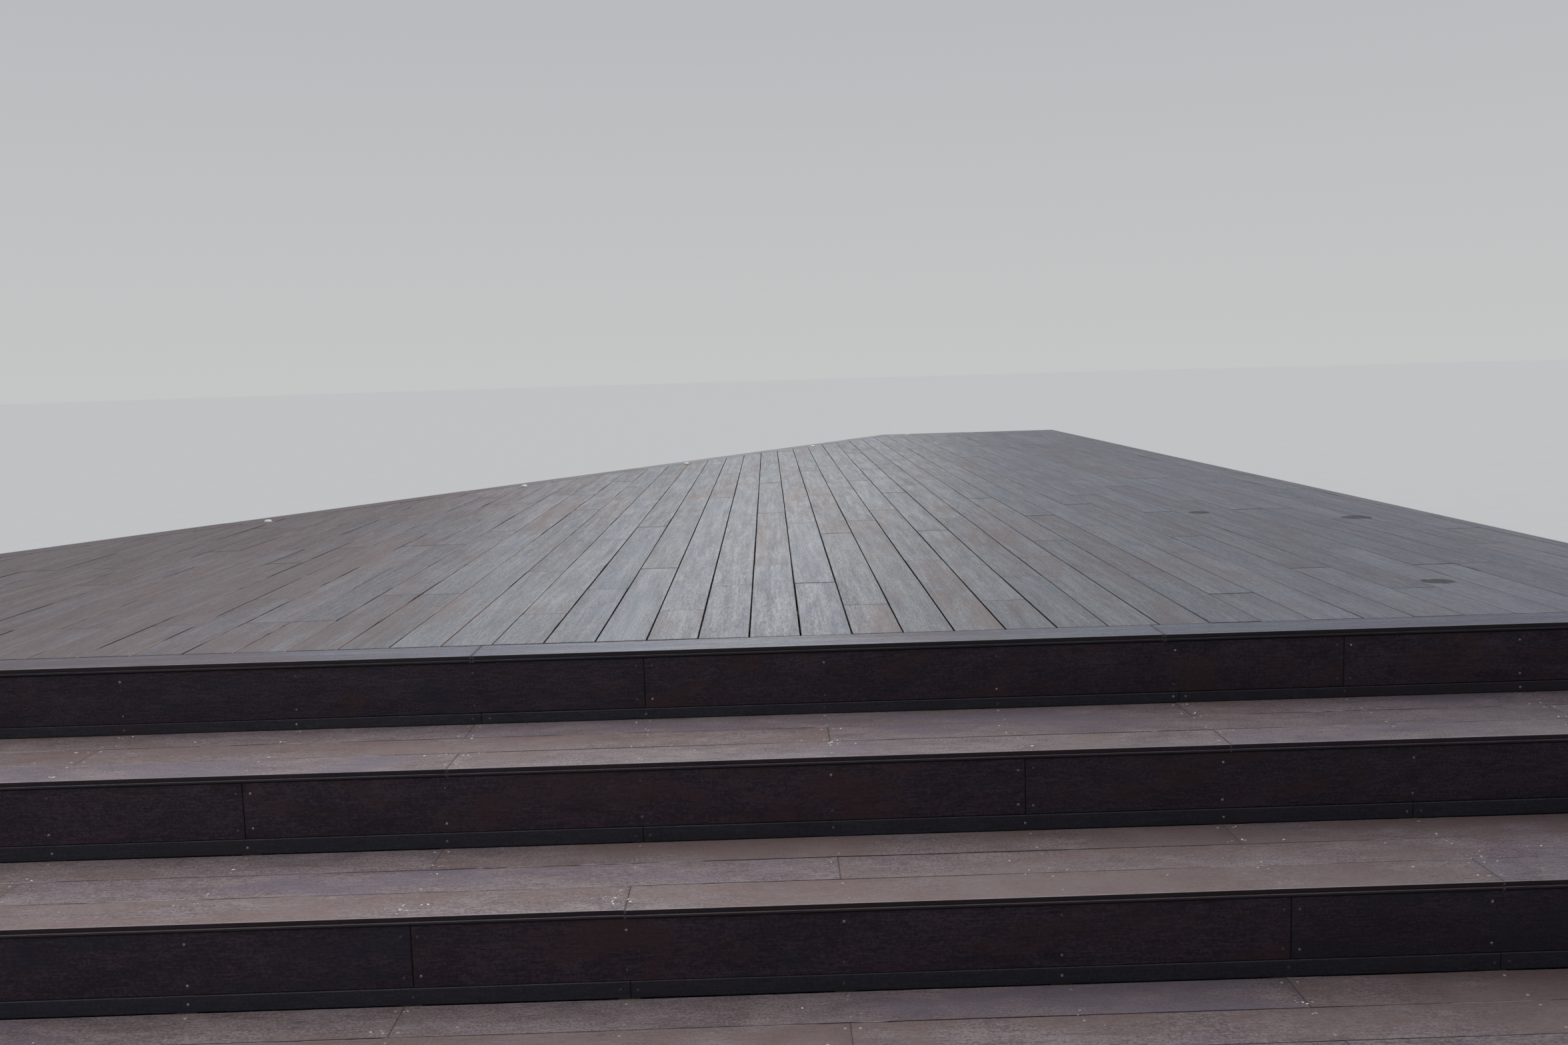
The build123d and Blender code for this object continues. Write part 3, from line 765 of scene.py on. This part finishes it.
# --------------------------------------------------------- deck edge boards
rng = np.random.default_rng(31)
acc = Acc()
spans = cuts(-HALF, joint_xs(1, {1: -0.010, 5: -0.030}), HALF, 0.0008)
for i, (a, b) in enumerate(spans):
    board(acc, rng, (0, YO, H), X, Y, Z, a, b, m0=1.0 if i == 0 else 0.0, nose=1.0,
          low=0.0032)
acc.build("front_edge_boards_look", MAT["deck"], "deck_board", "front_edge_boards",
          MAT["deck_edge"])
for side, pieces in (("left", [1.480]), ("diagonal", [BL * k - 0.370 for k in range(1, 6)]),
                     ("back", [0.830])):
    acc = Acc()
    ring_board(acc, rng, side, 0.0, BW, H, pieces, dust_and_shade=lambda V: np.zeros(len(V)))
    acc.build(side + "_edge_boards_look", MAT["deck"], "deck_board", side + "_edge_boards",
              MAT["deck_edge"])

# -------------------------------------------------------------- deck boards
# joist number of the first butt joint in each row, where the photo shows it
SEEN = {-12: 1, -10: 0, -8: 1, -7: 3, -6: 2, -5: 0, -4: 1, -3: 2, -2: 0, -1: 1,
        0: 2, 1: 1, 2: 0, 3: 1, 4: 2, 5: 0, 6: 1, 7: 2, 8: 3, 9: 1, 10: 0, 11: 2,
        12: 3, 13: 1, 14: 0, 17: 1}
rng = np.random.default_rng(41)
kmin = math.ceil((-HALF - GAP0) / PITCH) - 1
rows = []
k = kmin
last = None
pyr = random.Random(5)
IN = BW + GAP
while GAP0 + PITCH * k < HALF:
    x0 = max(GAP0 + PITCH * k + GAP / 2, -HALF + IN)
    x1 = min(GAP0 + PITCH * k + GAP / 2 + BW, HALF)
    if x1 - x0 > 0.015:
        joint = SEEN.get(k)
        if joint is None:
            joint = pyr.choice([j for j in range(4) if j != last])
        last = joint
        rows.append((k, x0, x1, joint))
    k += 1
per = math.ceil(len(rows) / 6)


def far_end(x):
    """Y of the field's far side at x, and whether the diagonal cuts there."""
    a, b, c = line("diagonal", IN)
    yd = (c - a * x) / b
    return (yd, True) if yd < DEPTH - IN else (DEPTH - IN, False)


slope = -DN[0] / DN[1]


def corner_board(acc, rng, x0, x1, y0, ya, yb):
    """The board whose far end turns from the diagonal to the back side."""
    a, b, c = line("diagonal", IN)
    xc = (c - b * yb) / a
    bm = bmesh.new()
    f = bm.faces.new([bm.verts.new((x, y + YO, H)) for x, y in
                      ((x0, y0), (x1, y0), (x1, yb), (xc, yb), (x0, ya))])
    geo = bmesh.ops.extrude_face_region(bm, geom=[f])
    ex = [g for g in geo["geom"] if isinstance(g, bmesh.types.BMVert)]
    bmesh.ops.translate(bm, verts=ex, vec=(0, 0, -BT))
    bmesh.ops.recalc_face_normals(bm, faces=bm.faces)
    edges = [e for e in bm.edges if all(abs(v.co.z - H) < 1e-6 for v in e.verts)]
    bmesh.ops.bevel(bm, geom=edges, offset=0.0012, segments=2, affect="EDGES", profile=0.5)
    V = np.array([v.co[:] for v in bm.verts])
    faces = [tuple(v.index for v in f.verts) for f in bm.faces]
    bm.free()
    off = rng.uniform(0, 40, 3)
    bco = np.stack([V[:, 1] + off[0], V[:, 0] - x0 + off[1], H - V[:, 2] + off[2]], 1)
    bpos = np.stack([V[:, 0] - x0, V[:, 1] - YO - y0, yb - V[:, 1] + YO], 1)
    acc.add(V, faces, bco, rng.uniform(0, 1, 3), np.ones(len(V)), bpos)


for g in range(6):
    acc = Acc()
    for k, x0, x1, joint in rows[g * per:(g + 1) * per]:
        ya, cut_a = far_end(x0)
        yb, cut_b = far_end(x1)
        ym, diag = (ya, cut_a)
        ys = [JY0 + JSTEP * j for j in range(joint - 8, 30, 4)]
        end = min(ya, yb)
        marks = [IN] + [y for y in ys if IN + 0.12 < y < end - 0.12] + [end]
        for i in range(len(marks) - 1):
            fin = i == len(marks) - 2
            s0 = marks[i] + (0.0005 if i else 0.0)
            s1 = marks[i + 1] - (0.0 if fin else 0.0005)
            m1 = slope if fin and cut_a and x1 - x0 > 0.02 else 0.0
            if fin and cut_a and not cut_b:
                corner_board(acc, rng, x0, x1, s0, ya, yb)
                continue
            wide = x1 - x0
            jitter = rng.uniform(-0.0004, 0.0004)
            board(acc, rng, (x0 + jitter, YO, H), Y, X, Z, s0, s1, width=wide, m1=m1)
    acc.build("deck_boards_%d_look" % (g + 1), MAT["deck"], "deck_board",
              "deck_boards_%d" % (g + 1), MAT["deck_edge"])

# ------------------------------------------------------------ side cladding
courses = []
z = FRAME_TOP
while z - BW > SKIRT_CLEAR:
    courses.append((z - BW, z))
    z -= BW + SKIRT_GAP
if z - SKIRT_CLEAR > 0.012:
    courses.append((SKIRT_CLEAR, z))
RF = LIP + BT
rng = np.random.default_rng(51)
for side in ("left", "diagonal", "back", "right"):
    acc = Acc()
    a, b = RING[side]
    o = SKIRT_IN
    p0, p1 = cross(line(side, o), line(a, o)), cross(line(side, o), line(b, o))
    total = float(np.linalg.norm(p1 - p0))
    L = (p1 - p0) / total
    for row, (za, zb) in enumerate(courses):
        lo, hi = 0.0005, total - 0.0005
        if side == "left":
            lo = RF + 0.002 - o
        if side == "right":
            hi = total - (RF + 0.002 - o)
        first = {0: 1.85, 1: 0.925, 2: 1.387, 3: 0.462, 4: 1.61, 5: 1.1}[row % 6]
        pieces = [lo]
        s = lo + first
        while s < hi - 0.15:
            pieces.append(s)
            s += BL
        pieces.append(hi)
        O = np.array((p0[0], p0[1] + YO, zb))
        L3 = np.array((L[0], L[1], 0.0))
        out3 = np.array((line(side, 0)[0], line(side, 0)[1], 0.0))
        for i in range(len(pieces) - 1):
            board(acc, rng, O, L3, NZ, out3, pieces[i] + (0.0007 if i else 0),
                  pieces[i + 1] - (0.0007 if i < len(pieces) - 2 else 0),
                  width=zb - za, gl=zb - za > 0.1, gr=zb - za > 0.1, warp=0.0003)
    acc.build(side + "_skirt_boards_look", MAT["riser"], "riser_board",
              side + "_skirt_boards")

back_faces = [-GOING * (3 - i) + LIP + BT for i in range(4)]


def below_steps(z0, z1):
    end = RF - 0.002
    edge = []
    for i in range(4):
        lo = 0.0 if i == 0 else sum(RISES[:i]) - BT
        hi = sum(RISES[: i + 1]) - BT
        a, b = max(lo, z0), min(hi, z1)
        if b - a > 0.0005:
            edge += [(back_faces[i], a), (back_faces[i], b)]
    if edge and edge[-1][0] >= end:
        edge = edge[:-2]
    if not edge:
        return None
    return edge + [(end, edge[-1][1]), (end, z0)]


SIDE_SCREWS = []


def cladding_screws():
    """Two screws a course at every joist or post line along the clad sides."""
    for side in ("left", "diagonal", "back", "right"):
        a, b = RING[side]
        o = SKIRT_IN
        p0, p1 = cross(line(side, o), line(a, o)), cross(line(side, o), line(b, o))
        total = float(np.linalg.norm(p1 - p0))
        L = (p1 - p0) / total
        out = line(side, 0)[:2]
        n = max(2, int(round((total - 0.1) / BAY)))
        for i in range(n + 1):
            s = 0.06 + (total - 0.12) * i / n
            if side == "left" and i == 0 or side == "right" and i == n:
                s += 0.03 if side == "left" else -0.03
            for za, zb in courses:
                dzs = (0.024, zb - za - 0.024) if zb - za > 0.1 else ((zb - za) / 2,)
                for dz in dzs:
                    q = p0 + L * s
                    SIDE_SCREWS.append(((q[0], q[1] + YO, zb - dz), (out[0], out[1], 0.0)))


cladding_screws()


def panel(side, x_out):
    """Cladding boards cut to the steps' outline, with softened edges."""
    sgn = 1 if x_out > 0 else -1
    acc = Acc()
    rng = np.random.default_rng(61 if sgn > 0 else 62)
    for a, b in courses:
        prof = below_steps(a, b)
        if not prof:
            continue
        bm = bmesh.new()
        vs = [bm.verts.new((x_out, y + YO, z)) for y, z in prof]
        f = bm.faces.new(vs)
        geo = bmesh.ops.extrude_face_region(bm, geom=[f])
        ex = [g for g in geo["geom"] if isinstance(g, bmesh.types.BMVert)]
        bmesh.ops.translate(bm, verts=ex, vec=(-sgn * BT, 0, 0))
        bmesh.ops.recalc_face_normals(bm, faces=bm.faces)
        edges = [e for e in bm.edges if all(abs(v.co.x - x_out) < 1e-6 for v in e.verts)]
        bmesh.ops.bevel(bm, geom=edges, offset=0.0014, segments=2, affect="EDGES",
                        profile=0.5)
        bm.verts.ensure_lookup_table()
        V = np.array([v.co[:] for v in bm.verts])
        faces = [tuple(v.index for v in f.verts) for f in bm.faces]
        off = rng.uniform(0, 40, 3)
        bco = np.stack([V[:, 1] + off[0], V[:, 2] + off[1], V[:, 0] + off[2]], 1)
        acc.add(V, faces, bco, rng.uniform(0, 1, 3), np.ones(len(V)))
        bm.free()
    acc.build(side + "_end_panel_look", MAT["riser"], "riser_board", side + "_end_panel")


panel("left", -FX)
panel("right", FX)


# ------------------------------------------------------------------- screws
def screw(acc, rng, P, N, r=0.0029):
    """A countersunk head with a star recess, its top just proud of the face."""
    N = np.asarray(N, float)
    P = np.asarray(P, float) + N * 0.0003
    T = np.cross(N, (0.3, 0.2, 0.9))
    T /= np.linalg.norm(T)
    B = np.cross(N, T)
    a0 = rng.uniform(0, 6.28)
    n = 12
    rings = [(r * 1.0, -0.0025), (r * 1.0, 0.0), (r * 0.86, 0.0004), (r * 0.48, 0.0005)]
    V = []
    for rad, h in rings:
        for i in range(n):
            a = a0 + 2 * math.pi * i / n
            V.append(P + rad * (math.cos(a) * T + math.sin(a) * B) + h * N)
    for i in range(n):
        a = a0 + 2 * math.pi * i / n
        rad = r * (0.44 if i % 2 else 0.24)
        V.append(P + rad * (math.cos(a) * T + math.sin(a) * B) - 0.0012 * N)
    V.append(P - 0.0012 * N)
    faces = []
    m = len(rings) + 1
    for j in range(m - 1):
        for i in range(n):
            k = (i + 1) % n
            faces.append((j * n + i, j * n + k, (j + 1) * n + k, (j + 1) * n + i))
    c = m * n
    for i in range(n):
        faces.append(((m - 1) * n + i, (m - 1) * n + (i + 1) % n, c))
    faces.append(tuple(range(n - 1, -1, -1)))
    V = np.array(V)
    acc.add(V, faces, V, rng.uniform(0, 1, 3), np.ones(len(V)))


# where the screw lines stand on each level, as built
LINES = {
    "r4": {-1: -1.409, 0: -0.950, 1: -0.480, 2: -0.031, 3: 0.447, 4: 0.905, 5: 1.379,
           6: 1.831, 7: 2.302},
    "r3": {-1: -1.409, 0: -0.949, 1: -0.469, 2: -0.007, 3: 0.444, 4: 0.905, 5: 1.374,
           6: 1.831},
    "r2": {-1: -1.410, 0: -0.929, 1: -0.458, 2: -0.009, 3: 0.446, 4: 0.902, 5: 1.385,
           6: 1.811},
    "t3": {-1: -1.413, 0: -0.947, 1: -0.474, 2: -0.014, 3: 0.448, 4: 0.907, 5: 1.384},
    "t2": {-1: -1.406, 0: -0.942, 1: -0.471, 2: -0.011, 3: 0.452, 4: 0.910, 5: 1.374},
    "t1": {0: -0.930, 1: -0.479, 2: -0.010, 3: 0.452, 4: 0.913, 5: 1.374, 6: 1.825},
}


heads = []


def screws():
    rng = np.random.default_rng(71)
    acc, tops = Acc(), Acc()

    def j(s=0.0012):
        return rng.uniform(-s, s)

    def lines(key, joint_list, spread):
        """Screw positions along X: one a stringer, a pair astride each joint."""
        for n in range(-5, 10):
            x = LINES.get(key, {}).get(n, stringer_x(n))
            x = max(-HALF + 0.05, min(HALF - 0.05, x))
            pair = [q for q in joint_list if abs(q - x) < 0.06 and abs(q) < HALF - 0.06]
            if pair:
                yield n, [pair[0] - spread + j(0.002), pair[0] + spread + j(0.002)]
            else:
                yield n, [x]

    for i in range(4):
        num, below = i + 1, sum(RISES[:i])
        top = below + RISES[i] - BT
        y = -GOING * (3 - i) + LIP + YO
        for n, xs in lines("r%d" % num, joint_xs(riser_joints[num], riser_off[num]), 0.018):
            for x in xs:
                for dz in (0.025, BW - 0.023):
                    screw(acc, rng, (x + j(0.002), y, top - dz + j(0.003)), NY)
        h = top - BW - RGAP - below
        for n, xs in lines("r%d" % num, joint_xs(strip_joints[num], strip_off[num]), 0.017):
            for x in xs:
                screw(acc, rng, (x + j(0.004), y, below + h * 0.5 + j(0.003)), NY)
    z = 0.0
    for i in range(3):
        z += RISES[i]
        num, nose = i + 1, -GOING * (3 - i)
        for row in range(3):
            y = nose + row * (BW + TGAP) + YO
            jl = joint_xs(tread_joints[num][row], tread_off.get((num, row), {}))
            first = 0.038 if row == 0 else 0.021
            for n, xs in lines("t%d" % num, jl, 0.015):
                for x in xs:
                    for dy in (first, BW - 0.022):
                        P = (x + j(0.003), y + dy + j(0.002), z)
                        screw(tops, rng, P, Z, 0.0034)
                        heads.append(P)
    acc.build("riser_screws", MAT["steel"], None)
    acc = Acc()
    for P, N in SIDE_SCREWS:
        screw(acc, rng, (P[0] + j(0.002), P[1] + j(0.002), P[2] + j(0.003)), N)
    for sgn in (-1, 1):
        for y, zs in ((-1.10, (0.045, 0.140)), (-0.70, (0.045, 0.150, 0.240, 0.330)),
                      (-0.26, (0.045, 0.150, 0.190, 0.290, 0.335, 0.430, 0.475, 0.530))):
            for z in zs:
                screw(acc, rng, (sgn * FX, y + YO, z), (sgn, 0, 0))
    acc.build("side_screws", MAT["steel"], None)
    tops.build("tread_screws", MAT["steel_top"], None)


screws()


# ------------------------------------------------------- grit on the treads
def crumb(acc, rng, P, r):
    """A small flat chip of irregular outline."""
    n = int(rng.integers(5, 8))
    a0 = rng.uniform(0, 6.28)
    st = rng.uniform(1.0, 2.2)
    turn = rng.uniform(0, 3.14)
    c, s = math.cos(turn), math.sin(turn)
    h = r * rng.uniform(0.35, 0.7)
    V = []
    for lvl, k in ((0.0, 0.9), (0.45, 1.0), (1.0, 0.5)):
        for i in range(n):
            a = a0 + 2 * math.pi * i / n
            q = r * k * rng.uniform(0.8, 1.15)
            x, y = q * math.cos(a) * st, q * math.sin(a)
            V.append((P[0] + c * x - s * y, P[1] + s * x + c * y, P[2] + h * lvl))
    V.append((P[0], P[1], P[2] + h * 1.1))
    faces = [tuple(range(n - 1, -1, -1))]
    for j in range(2):
        for i in range(n):
            k = (i + 1) % n
            faces.append((j * n + i, j * n + k, (j + 1) * n + k, (j + 1) * n + i))
    for i in range(n):
        faces.append((2 * n + i, 2 * n + (i + 1) % n, 3 * n))
    V = np.array(V)
    acc.add(V, faces, V, rng.uniform(0, 1, 3), np.ones(len(V)))


def grit():
    rng = np.random.default_rng(81)
    acc = Acc()

    def drop(i, x, y, r):
        """A chip on tread i, kept clear of its ends, its nosing and the riser."""
        nose = -GOING * (3 - i) + YO
        x = max(-HALF + 0.012, min(HALF - 0.012, x))
        y = max(nose + 0.011, min(nose + 0.395, y))
        crumb(acc, rng, (x, y, sum(RISES[: i + 1]) + 0.0004), r)

    for P in heads:
        for _ in range(int(rng.poisson(0.5))):
            d = rng.normal(0, 0.022, 2)
            drop(int(round(P[2] / RISES[0])) - 1, P[0] + d[0], P[1] + d[1] * 0.6,
                 rng.uniform(0.0009, 0.0028))
    for i in range(3):
        nose = -GOING * (3 - i) + YO
        # a spill about one butt joint of each tread
        for n in ((1, 5), (1, 2), (1, 3))[i]:
            x, y = stringer_x(n), nose + (0.07, 0.05, 0.12)[i]
            for _ in range(6):
                drop(i, x + rng.normal(0, 0.035), y + rng.normal(0, 0.022),
                     rng.uniform(0.0010, 0.0031))
        for _ in range(26):
            drop(i, rng.uniform(-HALF + 0.05, HALF - 0.05), nose + rng.uniform(0.02, 0.38),
                 rng.uniform(0.0010, 0.0028))
    acc.build("tread_grit", MAT["crumb"], None)


grit()


# ------------------------------------------------- lights let into the edge
def turned(acc, rng, P, profile, n=28, closed=False):
    """A body turned about Z: profile is a list of (radius, height)."""
    V, faces = [], []
    for r, h in profile:
        for i in range(n):
            a = 2 * math.pi * i / n
            V.append((P[0] + r * math.cos(a), P[1] + r * math.sin(a), P[2] + h))
    for j in range(len(profile) - 1):
        for i in range(n):
            k = (i + 1) % n
            faces.append((j * n + i, j * n + k, (j + 1) * n + k, (j + 1) * n + i))
    if closed:
        V.append((P[0], P[1], P[2] + profile[-1][1] + 0.0001))
        m = (len(profile) - 1) * n
        for i in range(n):
            faces.append((m + i, m + (i + 1) % n, len(V) - 1))
        faces.append(tuple(range(n - 1, -1, -1)))
    else:
        m = (len(profile) - 1) * n
        for i in range(n):
            k = (i + 1) % n
            faces.append((m + i, m + k, k, i))
    V = np.array(V)
    acc.add(V, faces, V, rng.uniform(0, 1, 3), np.ones(len(V)))


def deck_lights():
    rng = np.random.default_rng(91)
    rims, lenses = Acc(), Acc()
    L = np.array((ddx, ddy)) / dlen
    inward = -np.array(DN)
    spots = [np.array((-HALF, SIDE)) + L * s + inward * 0.19 for s in (1.60, 3.70, 5.67, 7.80)]
    spots.append(np.array((1.745, DEPTH - 0.19)))
    for q in spots:
        P = (q[0], q[1] + YO, H)
        turned(rims, rng, P, [(0.0178, -0.004), (0.0226, -0.004), (0.0230, 0.0014),
                              (0.0225, 0.0026), (0.0214, 0.0032), (0.0188, 0.0032),
                              (0.0178, 0.0024)])
        turned(lenses, rng, P, [(0.0177, -0.004), (0.0177, 0.0060), (0.0172, 0.0082),
                                (0.0155, 0.0101), (0.0122, 0.0116), (0.0070, 0.0125)],
               closed=True)
    rims.build("deck_light_rims", MAT["light_rim"], None)
    lenses.build("deck_light_lenses", MAT["light_lens"], None)


deck_lights()

# --------------------------------------------------- the carried-over pieces
for name in ("stringers", "front_rim_joist", "left_rim_joist", "diagonal_rim_joist",
             "back_rim_joist", "right_rim_joist", "joists", "bearers", "piles"):
    ob = nodes[name]
    ob.data.materials.clear()
    ob.data.materials.append(MAT["framing"])


# ------------------------------------------------------------ floor and light
def stage_floor():
    t = Tree("pale_floor")
    obj = t.add("ShaderNodeTexCoord").outputs["Object"]
    n1 = t.noise(t.scale(obj, (3.0, 3.0, 3.0)), 3.0, 0.5)
    col = t.ramp(n1, [(0.3, (0.845, 0.845, 0.84)), (0.7, (0.86, 0.86, 0.855))])
    b = t.add("ShaderNodeBsdfPrincipled")
    t.link(col, b.inputs["Base Color"])
    b.inputs["Roughness"].default_value = 0.9
    out = t.add("ShaderNodeOutputMaterial")
    t.link(b.outputs[0], out.inputs[0])
    me = bpy.data.meshes.new("floor")
    n, s = 96, 150.0
    me.from_pydata([(s * math.cos(2 * math.pi * i / n), s * math.sin(2 * math.pi * i / n), 0.0)
                    for i in range(n)], [], [tuple(range(n))])
    me.materials.append(t.mat)
    ob = bpy.data.objects.new("floor", me)
    bpy.context.scene.collection.objects.link(ob)
    return ob


FLOOR = stage_floor()
# the softboxes leave no pools of light on the floor
UNLIT = bpy.data.collections.new("not_lit_by_softboxes")
UNLIT.objects.link(FLOOR)
UNLIT.collection_objects[0].light_linking.link_state = "EXCLUDE"


def soft_sun(name, direction, strength, angle, colour):
    d = bpy.data.lights.new(name, "SUN")
    d.energy = strength
    d.angle = math.radians(angle)
    d.color = colour
    ob = bpy.data.objects.new(name, d)
    ob.rotation_euler = Vector(direction).to_track_quat("Z", "Y").to_euler()
    ob.location = (0, 0, 8)
    bpy.context.scene.collection.objects.link(ob)


soft_sun("key", (0.45, 0.25, 0.86), 0.54, 50, (1.0, 0.985, 0.96))


def softbox(name, place, look, size, power, turn=0.0):
    d = bpy.data.lights.new(name, "AREA")
    d.shape = "RECTANGLE"
    d.size, d.size_y = size
    d.energy = power
    ob = bpy.data.objects.new(name, d)
    ob.location = place
    ob.rotation_euler = (Vector(place) - Vector(look)).to_track_quat("Z", "Y").to_euler()
    if turn:
        ob.rotation_euler = (0.0, 0.0, turn)
    ob.visible_camera = False
    ob.light_linking.receiver_collection = UNLIT
    bpy.context.scene.collection.objects.link(ob)


# a long box over the middle of the deck and steps, one before and one behind
softbox("strip", (-0.1, YO + 4.2, H + 1.9), (-0.1, YO + 4.2, 0.0), (1.6, 15.4), 72.0, -0.11)
softbox("front", (-2.0, YO - 3.6, 1.9), (-0.2, YO - 0.4, 0.5), (2.0, 2.0), 24.0)
softbox("back", (-0.5, 17.5, 4.2), (0.0, 2.0, 0.7), (9.0, 5.0), 80.0)

world = bpy.data.worlds.new("studio")
world.use_nodes = True
wt = world.node_tree
bg = wt.nodes["Background"]
gen = wt.nodes.new("ShaderNodeTexCoord")
sky = wt.nodes.new("ShaderNodeSeparateXYZ")
wt.links.new(gen.outputs["Generated"], sky.inputs[0])
fade = wt.nodes.new("ShaderNodeMapRange")
fade.inputs["From Min"].default_value = 0.0
fade.inputs["From Max"].default_value = 0.30
wt.links.new(sky.outputs[2], fade.inputs["Value"])
blend = wt.nodes.new("ShaderNodeMix")
blend.data_type = "RGBA"
wt.links.new(fade.outputs["Result"], blend.inputs[0])
blend.inputs[6].default_value = (1.115, 1.135, 1.135, 1.0)
blend.inputs[7].default_value = (0.93, 0.96, 1.0, 1.0)
wt.links.new(blend.outputs[2], bg.inputs[0])
bg.inputs[1].default_value = 0.50
bpy.context.scene.world = world
bpy.context.scene.view_settings.view_transform = "Standard"
bpy.context.scene.view_settings.look = "None"
